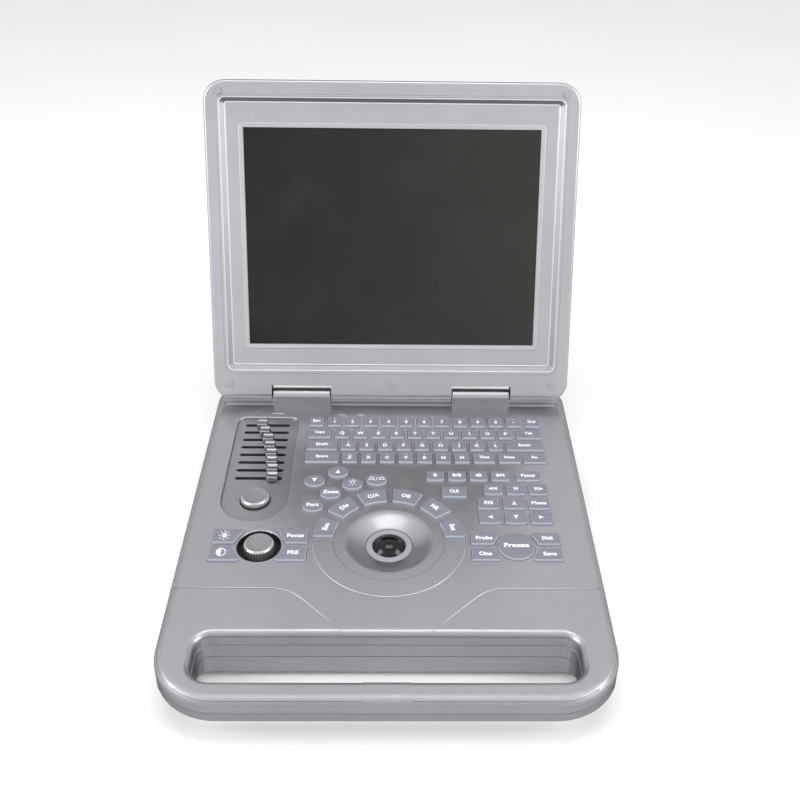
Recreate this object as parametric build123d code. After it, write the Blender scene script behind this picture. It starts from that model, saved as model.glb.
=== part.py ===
from build123d import *
import math
import os

# Laptop-style portable ultrasound scanner: a base with a carrying-handle slot,
# a control deck and a folding 15 inch display lid.
# Working frame: X to the right, Y away from the operator, Z up, with Y = 0 at the
# trackball centre and Z = 0 on the deck. Every piece is then moved so that the
# origin is the middle of the object's width and depth, on the plane of the feet.

# ---- driving dimensions (mm) ----
HALF_W = 191.5          # half width of the base
Y_FRONT = -181.0        # front face of the handle bar
Y_REAR = 249.0          # rear face of the base
R_FRONT = 57.0          # plan radius, front corners
R_REAR = 22.0           # plan radius, rear corners
DECK_H = 50.0           # deck above the underside of the base
FOOT_H = 2.0            # rubber feet
SEAM_Z = -14.0          # parting plane of the two base shells
BAR_Z = -23.0           # underside of the handle bar
WALL = 2.5              # shell wall
EDGE_R = 8.0            # rounding of the outer top edge
SLOT_EDGE_R = 6.0       # rounding of the slot's top edge
SLOT_LEDGE = 0.8        # the lower shell stands this far into the slot
WING_DROP = 0.5         # the palm rests sit this much below the deck
SLOT_X = 160.0          # half width of the handle slot
SLOT_Y0, SLOT_Y1 = -159.0, -112.0
STRIP_Y0 = 211.5        # raised strip behind the deck
STRIP_H = 1.6

KEY_TOP = 2.5           # key tops above the deck
KEY_GAP = 0.5           # gap round each key in the deck
KEY_FOOT = -2.85        # top of the retaining foot under the deck
KEY_FOOT_T = 1.1
KEY_TRAVEL = 1.2

BALL_R = 19.0
BALL_Z = -18.3
RING_R = 21.4
RING_Z = -6.9
DISH_R = 41.5

TGC_X, TGC_HALF = -131.1, 32.2     # recessed slider panel
TGC_Y0, TGC_Y1 = 58.2, 189.0
TGC_Z = -2.5
SLOT_N, SLOT_PITCH, SLOT_FIRST_Y = 8, 12.5, 177.9
SLOT_XA, SLOT_XB, SLOT_W = -154.9, -107.8, 4.2
SLIDER_X = [-136.9, -133.0, -128.1, -125.3, -122.4, -120.6, -118.7, -117.5]
CAP_W, CAP_L, CAP_TOP = 11.3, 11.7, 3.3

GAIN_XY = (-130.6, 57.6)
DEPTH_XY = (-119.2, -8.1)
KNOB_R, KNOB_TOP = 14.1, 4.0
WELL_R, WELL_Z = 20.1, -8.0

LEAN = 17.113           # lid leans back from vertical at rest
PIVOT_Y, PIVOT_Z = 216.3, 11.07
LID_HALF = 191.2
LID_V0, LID_V1 = -4.45, 333.95     # bottom and top edge, measured from the pivot
LID_F, LID_B = 8.56, -8.44         # front and back face, measured from the pivot
LID_PART = 2.0                     # parting plane of the two lid shells
LID_R = 22.0
SCR_HALF, SCR_V0, SCR_V1 = 152.05, 58.85, 286.95
RECESS = 3.0                       # inner field of the bezel below its border
NOTCH_A, NOTCH_B, NOTCH_V = 65.3, 129.5, 13.2
BARREL_A, BARREL_B, BARREL_R = 66.5, 128.3, 7.8
PIN_R, PIN_CLEAR = 2.0, 0.05

Y_MID = 70.28           # middle of the depth from the handle bar to the lid's top edge
SHIFT = Pos(0, -Y_MID, DECK_H + FOOT_H)
LID_AT = Pos(0, PIVOT_Y, PIVOT_Z) * Rot(90 - LEAN, 0, 0)

os.makedirs("parts", exist_ok=True)


def save(name, *shapes):
    placed = [SHIFT * s for s in shapes]
    solids = [x for s in placed for x in s.solids()]
    assert solids and all(s.volume > 1 for s in solids), name
    body = solids[0] if len(solids) == 1 else Compound(children=solids)
    export_step(body, f"parts/{name}.step")


def lid(shape):
    return LID_AT * shape


def slab(face, z0, z1):
    return Pos(0, 0, z0) * extrude(face, z1 - z0)


def rrect(x0, x1, y0, y1, r=0.0):
    w, h = x1 - x0, y1 - y0
    f = RectangleRounded(w, h, r) if r > 0 else Rectangle(w, h)
    return Pos((x0 + x1) / 2, (y0 + y1) / 2, 0) * f


def box(x0, x1, y0, y1, z0, z1, r=0.0):
    return slab(rrect(x0, x1, y0, y1, r), z0, z1)


def cyl(x, y, r, z0, z1):
    return Pos(x, y, (z0 + z1) / 2) * Cylinder(r, z1 - z0)


def xcyl(x0, x1, y, z, r):
    return Pos((x0 + x1) / 2, y, z) * Rot(0, 90, 0) * Cylinder(r, x1 - x0)


def poly(pts, r=0.0):
    f = make_face(Polyline(*[(x, y) for x, y in pts], close=True).edges())
    if r > 0:
        f = fillet(f.vertices(), r)
    return f


def grow(face, d):
    return offset(face, amount=d, kind=Kind.INTERSECTION)


def prism_x(pts, x0, x1):
    """Solid with the given (y, z) outline, running from x0 to x1."""
    f = make_face(Polyline(*[(y, z) for y, z in pts], close=True).edges())
    return Pos(x0, 0, 0) * extrude(Plane.YZ * f, x1 - x0, dir=(1, 0, 0))


# ---- keys ----
def bulged(x0, x1, y0, y1, bulge=0.9, r=1.2):
    """Key outline whose front edge bows towards the operator."""
    m = (x0 + x1) / 2
    e = (
        Line((x0, y0), (x0, y1)).edges()
        + Line((x0, y1), (x1, y1)).edges()
        + Line((x1, y1), (x1, y0)).edges()
        + ThreePointArc((x1, y0), (m, y0 - bulge), (x0, y0)).edges()
    )
    f = make_face(e)
    return fillet(f.vertices(), r)


def key_solid(face, top=KEY_TOP, edge=0.8, flange=None):
    """Key cap with rounded top edge and a retaining foot under the deck."""
    cap = slab(face, KEY_FOOT - KEY_FOOT_T, top)
    rim = cap.faces().sort_by(Axis.Z)[-1].edges()
    for r in (edge, edge * 0.6, 0.3):
        try:
            cap2 = fillet(rim, r)
            if cap2.volume > 0:
                cap = cap2
                break
        except Exception:
            continue
    foot = slab(flange or grow(face, 1.0), KEY_FOOT - KEY_FOOT_T, KEY_FOOT)
    return cap + foot


U = 19.13
KB_X0 = -86.8
ROW_Y = [172.6, 152.3, 132.1, 111.9]
KEY_D = 15.2


def row(i, spans):
    return [
        rrect(KB_X0 + a * U, KB_X0 + b * U, ROW_Y[i], ROW_Y[i] + KEY_D, 1.1)
        for a, b in spans
    ]


K = 0.79
row_1 = row(0, [(i, i + K) for i in range(12)] + [(12, 12.83)])
row_2 = row(1, [(0, 1.25)] + [(1.47 + i, 1.47 + i + K) for i in range(10)] + [(11.46, 12.83)])
row_3 = row(2, [(0, 1.64)] + [(1.85 + i, 1.85 + i + K) for i in range(9)] + [(10.83, 12.83)])
row_4 = row(
    3,
    [(0, 1.77)]
    + [(1.97 + i, 1.97 + i + K) for i in range(7)]
    + [(8.99, 10.12), (10.33, 11.48), (11.66, 12.83)],
)

ROUND = [(-52.2, 96.2), (-74.8, 82.6), (-37.1, 78.0), (-13.3, 84.2), (-57.7, 64.4), (-73.9, 45.6)]
ROUND_A, ROUND_B = 10.3, 8.2


def ovals(d=0.0):
    return [Pos(x, y, 0) * Ellipse(ROUND_A + d, ROUND_B + d) for x, y in ROUND]



mode_faces = [
    bulged(a, b, 84.4, 97.6, 0.8)
    for a, b in [(36.4, 53.8), (58.0, 75.6), (79.6, 97.1), (101.2, 119.1), (125.8, 150.1)]
] + [bulged(51.3, 75.3, 59.6, 73.9, 0.8)]

cursor_faces = (
    [bulged(a, b, 63.6, 77.6, 0.9) for a, b in [(92.8, 110.9), (114.7, 132.8), (136.4, 155.0)]]
    + [bulged(a, b, 42.6, 57.0, 0.9) for a, b in [(85.4, 106.0), (109.9, 130.6), (134.0, 154.4)]]
    + [bulged(a, b, 22.2, 36.8, 0.9) for a, b in [(85.6, 106.1), (109.9, 130.5), (134.0, 155.0)]]
)


def corner_keys(cx, cy, r_cut, quads):
    """Four-sided keys whose inner corner is cut back round a centre."""
    out = []
    for q in quads:
        f = poly(q) - Pos(cx, cy, 0) * Circle(r_cut)
        f = f.faces()[0]
        out.append(fillet(f.vertices(), 1.1))
    return out


depth_key_faces = corner_keys(
    DEPTH_XY[0],
    DEPTH_XY[1],
    22.6,
    [
        [(-162.8, -5.8), (-143.0, -5.8), (-134.4, 11.6), (-162.8, 11.6)],
        [(-162.8, -28.2), (-134.6, -28.2), (-144.6, -10.3), (-162.8, -10.3)],
        [(-95.0, -5.8), (-75.0, -5.8), (-75.0, 11.6), (-103.4, 11.6)],
        [(-103.6, -28.2), (-75.0, -28.2), (-75.0, -10.3), (-94.2, -10.3)],
    ],
)
FREEZE = (117.3, -9.0, 17.1)
freeze_corner_faces = corner_keys(
    FREEZE[0],
    FREEZE[1],
    20.0,
    [
        [(75.8, -6.6), (96.6, -6.6), (104.2, 8.1), (75.8, 8.1)],
        [(75.8, -27.0), (102.8, -27.0), (95.4, -12.3), (75.8, -12.3)],
        [(137.6, -6.6), (158.6, -6.6), (158.6, 8.1), (130.8, 8.1)],
        [(131.2, -27.0), (158.2, -27.0), (158.2, -12.3), (138.4, -12.3)],
    ],
)
freeze_face = Pos(FREEZE[0], FREEZE[1], 0) * Circle(FREEZE[2])

ARC_A, ARC_B = 52.0, 70.6
ARC_SPANS = [(155.4, 182.0), (123.6, 147.0), (92.9, 117.2), (62.8, 87.1), (33.0, 56.4), (-2.0, 24.6)]


def arc_face(a0, a1):
    """Ring-sector outline between two angles, with straight flanks."""
    m = math.radians((a0 + a1) / 2)
    ring = Circle(ARC_B) - Circle(ARC_A)
    far = 110.0
    p0 = (far * math.cos(math.radians(a0)), far * math.sin(math.radians(a0)))
    p1 = (far * math.cos(math.radians(a1)), far * math.sin(math.radians(a1)))
    w = poly([(0, 0), p0, p1])
    f = ring & w
    if a0 < 0 or a1 > 180:
        f = f & rrect(-90, 90, 3.2, 120)
    f = f.faces()[0]
    return fillet(f.vertices(), 1.1)


arc_faces = [arc_face(*s) for s in ARC_SPANS]
all_key_faces = (
    row_1 + row_2 + row_3 + row_4 + mode_faces + cursor_faces
    + depth_key_faces + freeze_corner_faces + [freeze_face] + arc_faces
)

# ---- base shells ----
outline = Pos(0, (Y_FRONT + Y_REAR) / 2, 0) * Rectangle(2 * HALF_W, Y_REAR - Y_FRONT)
vs = outline.vertices().sort_by(Axis.Y)
outline = fillet(vs[:2], R_FRONT)
vs = outline.vertices().sort_by(Axis.Y)
outline = fillet(
    [v for v in outline.vertices() if v.Y > Y_REAR - 1 and abs(v.X) > HALF_W - 1], R_REAR
)
slot_face = rrect(-SLOT_X, SLOT_X, SLOT_Y0, SLOT_Y1)
slot_face = fillet(slot_face.vertices().sort_by(Axis.Y)[:2], 18.0)
slot_face = fillet([v for v in slot_face.vertices() if v.Y > SLOT_Y1 - 1], 14.0)

block = slab(outline, SEAM_Z, 0)
block = fillet(block.faces().sort_by(Axis.Z)[-1].edges(), EDGE_R)
block -= slab(slot_face, SEAM_Z - 1, 1)
top_edges = [
    e
    for e in block.faces().filter_by(lambda f: abs(f.center().Z) < 0.01).sort_by(SortBy.AREA)[-1].inner_wires().edges()
]
block = fillet(top_edges, SLOT_EDGE_R)

wing_path = [(104.0, -60.0), (94.0, -61.2), (84.5, -65.6), (76.0, -72.2), (38.2, -110.0)]


def wing(s):
    e = (
        Line((s * 200, -60), (s * 104, -60)).edges()
        + ThreePointArc((s * 104, -60), (s * 88.7, -63.0), (s * 75.7, -71.7)).edges()
        + Polyline((s * 75.7, -71.7), (s * 19.4, -128.0), (s * 19.4, -200), (s * 200, -200), (s * 200, -60)).edges()
    )
    return make_face(e)


wings = slab(wing(-1), -30, 5) + slab(wing(1), -30, 5)
low = (Pos(0, 0, -WING_DROP) * block) & box(-200, 200, -200, 300, SEAM_Z, 10)
upper = (block - wings) + (low & wings)

cavity = slab(grow(outline, -WALL), SEAM_Z - 1, -WALL) - slab(grow(slot_face, WALL), SEAM_Z - 2, 0)
upper -= cavity

strip = prism_x(
    [(STRIP_Y0, -0.5), (STRIP_Y0 + 0.4, 0.2), (STRIP_Y0 + 2.6, STRIP_H), (240, STRIP_H), (243.5, -0.5)], -184, 184
) & slab(Pos(0, 227, 0) * RectangleRounded(368, 31.4, 9), -2, 5)
upper += strip

# trackball dish
upper -= cyl(0, 0, DISH_R, -WALL - 1, 1)
dish_top = Spline(
    (DISH_R, 0), (38.6, -0.35), (34.5, -1.75), (30.0, -3.7), (26.0, -5.5), (23.6, -6.45), (21.8, -6.9),
    tangents=((-1, 0), (-1, -0.15)),
)
dish_low = Spline(
    (21.8, -9.4), (24.6, -8.8), (27.4, -7.7), (31.2, -6.0), (35.8, -4.1), (DISH_R, -WALL),
    tangents=((1, 0.15), (1, 0)),
)
dish = make_face(
    dish_top.edges()
    + Line((21.8, -6.9), (21.8, -9.4)).edges()
    + dish_low.edges()
    + Line((DISH_R, -WALL), (DISH_R, 0)).edges()
)
dish = revolve(Rot(90, 0, 0) * dish, Axis.Z, 360)
upper += dish

# raised half ring that carries on the line of the arc keys
half_ring = (Circle(70.9) - Circle(51.8)) & rrect(-90, 90, -90, -1.5)
ring_pad = slab(half_ring, -0.5, 0.55)
ring_top = [e for e in ring_pad.faces().sort_by(Axis.Z)[-1].edges()]
ring_pad = fillet(ring_top, 0.3)
upper += ring_pad

# recess for the slider panel
tgc_face = rrect(TGC_X - TGC_HALF, TGC_X + TGC_HALF, TGC_Y0 - TGC_HALF, TGC_Y1)
tgc_face = fillet(tgc_face.vertices().sort_by(Axis.Y)[:2], TGC_HALF - 0.02)
tgc_face = fillet([v for v in tgc_face.vertices() if v.Y > TGC_Y1 - 1], 9.0)
upper -= slab(tgc_face, -WALL - 1, 2)

# well of the lower knob
dx, dy = DEPTH_XY
upper -= cyl(dx, dy, WELL_R, -WALL - 1, 2)
well = cyl(dx, dy, WELL_R + 1.2, WELL_Z - 2, -WALL) - cyl(dx, dy, WELL_R, WELL_Z, 1) - cyl(dx, dy, 4.0, -20, 0)
upper += well



def soften(solid, pick, sizes):
    """Round the picked edges with the first radius that builds."""
    chosen = [e for e in solid.edges() if pick(e)]
    for r in sizes:
        try:
            out = fillet(chosen, r)
            if 0.9 < out.volume / solid.volume < 1.1 and out.is_valid:
                return out
        except Exception:
            continue
    return solid


def on_panel_rim(e):
    c = e.center()
    return (
        all(abs(v.Z) < 0.01 for v in e.vertices())
        and abs(c.Z) < 0.01
        and abs(c.X - TGC_X) < TGC_HALF + 0.5
        and TGC_Y0 - TGC_HALF - 0.5 < c.Y < TGC_Y1 + 0.5
    )


def on_well_rim(e):
    return all(abs(v.Z) < 0.01 and abs(math.hypot(v.X - dx, v.Y - dy) - WELL_R) < 0.05 for v in e.vertices())


upper = soften(upper, on_panel_rim, (1.3, 0.9, 0.5))
upper = soften(upper, on_well_rim, (1.2, 0.8, 0.5))

for f in all_key_faces:
    upper -= slab(grow(f, KEY_GAP), -WALL - 1, 2)
for f in ovals(KEY_GAP):
    upper -= slab(f, -WALL - 1, 2)

# hinge openings, hinge-cover seats, fixings
for s in (-1, 1):
    a, b = sorted((s * (BARREL_A - 0.25), s * (BARREL_B + 0.25)))
    upper -= box(a, b, PIVOT_Y - BARREL_R - 0.25, PIVOT_Y + BARREL_R + 0.25, 0, 5)
    a, b = sorted((s * 76, s * 119))
    upper -= box(a, b, 211.5, 221.5, -WALL - 1, 3)

BOSS = [(-180.0, 205.0), (180.0, 205.0), (-180.0, 60.0), (180.0, 60.0), (-176.0, -96.0), (176.0, -96.0)]
for x, y in BOSS:
    upper += cyl(x, y, 4.2, SEAM_Z, -2.2)
    upper -= cyl(x, y, 1.5, SEAM_Z - 1, -4.5)
upper = upper & box(-300, 300, -300, 400, SEAM_Z, 20)

# lower shell: flat underside that rises to the handle bar
side = prism_x(
    [(-190, SEAM_Z), (-190, BAR_Z), (-152, BAR_Z), (-106, -DECK_H), (260, -DECK_H), (260, SEAM_Z)], -200, 200
)
side_in = prism_x(
    [(-190, SEAM_Z + 1), (-190, BAR_Z + WALL), (-151, BAR_Z + WALL), (-105, -DECK_H + WALL), (260, -DECK_H + WALL), (260, SEAM_Z + 1)],
    -200, 200,
)
low_block = slab(outline, -DECK_H - 1, SEAM_Z) & side
lower = low_block - slab(grow(slot_face, -SLOT_LEDGE), -60, 0)
for r in (4.0, 2.5):
    try:
        under = [
            e
            for e in lower.edges()
            if e.center().Z < -DECK_H + 0.01 and (abs(e.center().X) > HALF_W - 12 or e.center().Y > Y_REAR - 12)
        ]
        lower = fillet(under, r)
        break
    except Exception:
        continue
hollow = (slab(grow(outline, -WALL), -DECK_H - 1, SEAM_Z + 1) & side_in) - slab(grow(slot_face, WALL - SLOT_LEDGE), -60, 0)
lower -= hollow
lower -= slab(grow(slot_face, 0.5 - SLOT_LEDGE), -27.4, -26.8) & box(-200, 200, -140, -100, -30, -20)

# fine shadow groove under the parting plane
lower -= slab(grow(outline, 1.0), SEAM_Z - 0.4, SEAM_Z + 1) - slab(grow(outline, -0.4), SEAM_Z - 2, SEAM_Z + 2)
FEET = [(-162.0, 222.0), (162.0, 222.0), (-162.0, -82.0), (162.0, -82.0)]
for x, y in FEET:
    lower -= cyl(x, y, 9.2, -DECK_H - 1, -DECK_H + 1.0)
for x, y in BOSS:
    lower += cyl(x, y, 4.2, -DECK_H + WALL - 0.2, SEAM_Z) & box(-HALF_W, HALF_W, Y_FRONT, Y_REAR, -60, SEAM_Z)
    lower -= cyl(x, y, 1.8, -60, 0)
    lower -= cyl(x, y, 3.7, -60, -DECK_H + 2.0)

BAT = (40.0, 148.0, -98.0, 12.0)
lower -= box(BAT[0] + 4, BAT[1] - 4, BAT[2] + 4, BAT[3] - 4, -60, -DECK_H + WALL + 1, 5)
lower -= box(BAT[0] - 2, BAT[1] + 2, BAT[2] - 2, BAT[3] + 2, -60, -DECK_H + 1.5, 7)

# air inlet slots under the fan and outlet slots in the left wall
FAN = (-140.0, 160.0)
for i in range(7):
    y = FAN[1] - 18 + i * 6
    lower -= box(FAN[0] - 18, FAN[0] + 18, y - 1.2, y + 1.2, -60, -DECK_H + WALL + 1, 1.1)
for i in range(9):
    y = 128 + i * 8
    lower -= box(-HALF_W - 2, -HALF_W + WALL + 2, y - 1.5, y + 1.5, -42, -24)

# socket cut-outs: probe socket on the right, sockets in the rear wall, button on the left
PROBE = (92.0, 162.0, -42.0, -20.0)
lower -= box(HALF_W - WALL - 2, HALF_W + 2, PROBE[0], PROBE[1], PROBE[2], PROBE[3])
REAR = [(-118.0, 17.0, -40.0, -26.0), (-84.0, 15.5, -38.0, -30.0), (-62.0, 15.5, -38.0, -30.0), (60.0, 31.5, -40.5, -27.5), (104.0, 17.0, -40.0, -26.0)]
for x, w, z0, z1 in REAR:
    lower -= box(x - w / 2, x + w / 2, Y_REAR - WALL - 2, Y_REAR + 2, z0, z1)
JACK = (136.0, -33.0, 5.6)
lower -= Pos(JACK[0], Y_REAR, JACK[1]) * Rot(90, 0, 0) * Cylinder(JACK[2] + 0.1, 12)
BTN = (216.0, -32.0, 6.0)
lower -= xcyl(-HALF_W - 3, -HALF_W + WALL + 3, BTN[0], BTN[1], BTN[2] + 0.3)

save("upper_shell", upper)
save("lower_shell", lower)

# ---- control pieces ----
for name, faces in [
    ("keyboard_row_1", row_1),
    ("keyboard_row_2", row_2),
    ("keyboard_row_3", row_3),
    ("keyboard_row_4", row_4),
    ("function_keys", mode_faces + cursor_faces),
    ("corner_keys", depth_key_faces + freeze_corner_faces),
    ("freeze_key", [freeze_face]),
]:
    save(name, *[key_solid(f) for f in faces])
for n, f in enumerate(arc_faces):
    save(f"arc_key_{n + 1}", key_solid(f))
save("round_keys", *[key_solid(f, flange=g) for f, g in zip(ovals(), ovals(1.0))])

# silicone dome mat and the key board under the keys
mat_face = rrect(-91, 163, -33, 193) - Circle(45.0) - rrect(-100, -94, 0, 200)
arm = rrect(-167, -74, -33, 17) - Pos(dx, dy, 0) * Circle(WELL_R + 3.0)
mat_face = mat_face + arm
save("keypad_mat", slab(mat_face, -6.6, -5.4))
board = slab(mat_face, -8.4, -6.8)
for x, y in [(150, 186), (-80, 186), (150, -29), (-160, -29)]:
    board -= cyl(x, y, 1.6, -10, 0)
save("key_board", board)

# slider panel with eight slots
panel = slab(grow(tgc_face, 3.5), TGC_Z - 2.0, TGC_Z)
slot_ys = [SLOT_FIRST_Y - i * SLOT_PITCH for i in range(SLOT_N)]
for y in slot_ys:
    panel -= slab(Pos((SLOT_XA + SLOT_XB) / 2, y, 0) * SlotOverall(SLOT_XB - SLOT_XA, SLOT_W), -10, 0)
gx, gy = GAIN_XY
panel -= cyl(gx, gy, 4.0, -10, 0)
save("slider_panel", panel)

pots = []
for i, y in enumerate(slot_ys):
    p = box(-159.0, -103.6, y - 4.6, y + 4.6, -15.0, TGC_Z - 2.3)
    p -= box(SLOT_XA - 1.5, SLOT_XB + 1.5, y - 2.2, y + 2.2, -12.5, 0)
    pots.append(p)
save("slide_pots", *pots)
save("slider_board", box(-161.5, -101.5, 84.0, 184.5, -16.8, -15.2))

for i, (x, y) in enumerate(zip(SLIDER_X, slot_ys)):
    prof = [
        (-CAP_L / 2, -1.9), (CAP_L / 2, -1.9), (CAP_L / 2, 1.9), (CAP_L / 2 - 1.2, CAP_TOP), (CAP_L / 2 - 2.8, CAP_TOP - 0.2),
        (1.5, CAP_TOP - 1.5), (-1.5, CAP_TOP - 1.5), (-CAP_L / 2 + 2.8, CAP_TOP - 0.2), (-CAP_L / 2 + 1.2, CAP_TOP), (-CAP_L / 2, 1.9),
    ]
    cap = Pos(x, y, 0) * prism_x(prof, -CAP_W / 2, CAP_W / 2)
    stem = box(x - 2.0, x + 2.0, y - 0.9, y + 0.9, -11.0, -1.8)
    save(f"tgc_slider_{i + 1}", cap + stem)


def knob(x, y, z0, ztop, zshaft):
    k = cyl(x, y, KNOB_R, z0, ztop)
    k = chamfer(k.faces().sort_by(Axis.Z)[-1].edges(), 1.3)
    k = chamfer(k.faces().sort_by(Axis.Z)[0].edges(), 0.4)
    return k + cyl(x, y, 3.0, zshaft, z0 + 0.5)


save("gain_knob", knob(gx, gy, -1.7, KNOB_TOP, -15.0))
save("depth_knob", knob(dx, dy, -7.2, KNOB_TOP, -20.0))
enc = []
for (x, y), zt in ((GAIN_XY, TGC_Z - 2.0), (DEPTH_XY, WELL_Z - 2.0)):
    e = box(x - 6.5, x + 6.5, y - 6.5, y + 6.5, zt - 11.5, zt)
    e -= cyl(x, y, 3.06, zt - 10.7, zt + 1)
    enc.append(e)
save("knob_encoders", *enc)

# trackball
ball = Pos(0, 0, BALL_Z) * Sphere(BALL_R)
save("trackball", ball)
ring = cyl(0, 0, RING_R, -12.0, RING_Z) - Pos(0, 0, BALL_Z) * Sphere(BALL_R + 0.35)
ring = fillet([e for e in ring.edges() if abs(e.center().Z - RING_Z) < 0.01 and e.length > 2 * math.pi * 20], 0.5)
save("trackball_ring", ring)
cup = cyl(0, 0, 22.8, -40.5, -12.0) - Pos(0, 0, BALL_Z) * Sphere(BALL_R + 0.6)
cup -= cyl(0, 0, 19.8, BALL_Z, -11)
cup -= cyl(0, 0, 5.0, -45, -30)
save("trackball_cup", cup)
save("trackball_sensor", box(-16, 16, -14, 14, -42.4, -40.7) + box(-3, 3, -3, 3, -41, -39.6))

# ---- electronics and power ----
mb = box(-50, 166, 30, 232, -33.6, -32.0)
chips = [
    (20, 52, 120, 152, -26.5), (78, 104, 150, 176, -28.0), (70, 112, 84, 108, -28.0), (126, 158, 108, 150, -27.0),
    (-36, -6, 176, 206, -28.5), (-30, 0, 60, 84, -28.0),
]
for x0, x1, y0, y1, z1 in chips:
    mb += box(x0, x1, y0, y1, -32.6, z1)
save("main_board", mb)
hs = box(16, 56, 116, 156, -26.5, -24.0)
for i in range(9):
    hs += box(17 + i * 4.7, 18.4 + i * 4.7, 116, 156, -24.2, -15.5)
save("heat_sink", hs)
pb = box(-172, -60, 190, 238, -46.0, -44.4)
for x0, x1, y0, y1, z1 in [(-104, -82, 196, 216, -26), (-78, -64, 196, 210, -30), (-66, -62, 216, 234, -34)]:
    pb += box(x0, x1, y0, y1, -44.9, z1)
save("power_board", pb)
save("battery_pack", box(BAT[0] + 6, BAT[1] - 6, BAT[2] + 6, BAT[3] - 6, -46.8, -24.0, 4))
door = box(BAT[0] - 1.6, BAT[1] + 1.6, BAT[2] - 1.6, BAT[3] + 1.6, -DECK_H, -DECK_H + 1.4, 6.6)
door += box(BAT[0] + 5, BAT[1] - 5, BAT[2] + 5, BAT[3] - 5, -DECK_H + 1.2, -47.2, 4.5)
door -= box(92, 124, 2.0, 8.0, -51, -DECK_H + 0.7, 2.9)
save("battery_door", door)

fx, fy = FAN
fan = box(fx - 25, fx + 25, fy - 25, fy + 25, -46.5, -32.0, 4)
fan -= cyl(fx, fy, 22.5, -45.0, -30)
fan -= box(fx - 30, fx, fy - 15, fy + 15, -44.5, -33.5)
for i in range(6):
    t = math.radians(60 * i + 30)
    fan -= cyl(fx + 14 * math.cos(t), fy + 14 * math.sin(t), 4.5, -50, -44)
fan += cyl(fx, fy, 1.5, -45.2, -34.0)
save("fan_housing", fan)
rotor = cyl(fx, fy, 9.0, -43.8, -33.5) - cyl(fx, fy, 1.56, -50, -30)
for i in range(9):
    rotor += Pos(fx, fy, -38.6) * Rot(0, 0, 40 * i) * Pos(14.2, 0, 0) * Rot(18, 0, 0) * Box(12.5, 1.2, 8.0)
save("fan_rotor", rotor)

socks = []
for x, w, z0, z1 in REAR:
    s = box(x - w / 2 + 0.2, x + w / 2 - 0.2, Y_REAR - 14, Y_REAR - 0.2, z0 + 0.2, z1 - 0.2)
    s -= box(x - w / 2 + 1.4, x + w / 2 - 1.4, Y_REAR - 11, Y_REAR + 2, z0 + 1.4, z1 - 1.4)
    s += box(x - w / 2 + 3.0, x + w / 2 - 3.0, Y_REAR - 12, Y_REAR - 3, (z0 + z1) / 2 - 0.6, (z0 + z1) / 2 + 0.6)
    socks.append(s)
jack = Pos(JACK[0], Y_REAR - 7, JACK[1]) * Rot(90, 0, 0) * Cylinder(JACK[2], 13.6)
jack -= Pos(JACK[0], Y_REAR - 5, JACK[1]) * Rot(90, 0, 0) * Cylinder(4.2, 11)
jack += Pos(JACK[0], Y_REAR - 8, JACK[1]) * Rot(90, 0, 0) * Cylinder(1.0, 8)
socks.append(jack)
save("rear_sockets", *socks)

ps = box(HALF_W - 22, HALF_W - 0.3, PROBE[0] + 0.4, PROBE[1] - 0.4, PROBE[2] + 0.4, PROBE[3] - 0.4, 0)
ps -= box(HALF_W - 14, HALF_W + 2, PROBE[0] + 4, PROBE[1] - 4, PROBE[2] + 3.4, PROBE[3] - 3.4, 0)
ps += box(HALF_W - 15, HALF_W - 4, PROBE[0] + 9, PROBE[1] - 9, -33.6, -28.4)
save("probe_socket", ps)

btn = xcyl(-HALF_W + 0.2, -HALF_W + 7.0, BTN[0], BTN[1], BTN[2])
btn = fillet([e for e in btn.edges() if e.center().X < -HALF_W + 1.0], 0.7)
save("power_button", btn)
save("power_switch", box(-HALF_W + 9.0, -HALF_W + 17, BTN[0] - 6, BTN[0] + 6, BTN[1] - 6, BTN[1] + 6))

save("rubber_feet", *[
    fillet((cyl(x, y, 9.0, -DECK_H - FOOT_H, -DECK_H + 1.0)).edges().sort_by(Axis.Z)[0], 0.6) for x, y in FEET
])
screws = []
for x, y in BOSS:
    s = cyl(x, y, 3.5, -DECK_H + 0.2, -DECK_H + 1.9) + cyl(x, y, 1.45, -DECK_H + 1.9, SEAM_Z + 8.0)
    s -= Pos(x, y, -DECK_H + 0.5) * Box(4.2, 0.8, 0.8)
    s -= Pos(x, y, -DECK_H + 0.5) * Box(0.8, 4.2, 0.8)
    screws.append(s)
save("base_screws", *screws)

# ---- hinge ----
covers = []
for s in (-1, 1):
    x0, x1 = sorted((s * BARREL_A, s * BARREL_B))
    yc, zc, r = PIVOT_Y, PIVOT_Z, BARREL_R
    cov = xcyl(x0, x1, yc, zc, r) + box(x0, x1, yc - r, yc + r, 0, zc)
    rim = [e for e in cov.edges() if abs(abs(e.center().X) - BARREL_A) < 0.01 or abs(abs(e.center().X) - BARREL_B) < 0.01]
    rim = [e for e in rim if e.center().Z > 0.1]
    try:
        cov = fillet(rim, 0.7)
    except Exception:
        pass
    inn = xcyl(x0 + 2, x1 - 2, yc, zc, r - 1.8) + box(x0 + 2, x1 - 2, yc - r + 1.8, yc + r - 1.8, -1, zc)
    cov -= inn
    a, b = sorted((s * (BARREL_A - 1), s * (BARREL_A + 3)))
    cov -= xcyl(a, b, yc, zc, PIN_R + 0.3)
    covers.append(cov)
save("hinge_covers", *covers)

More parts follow.
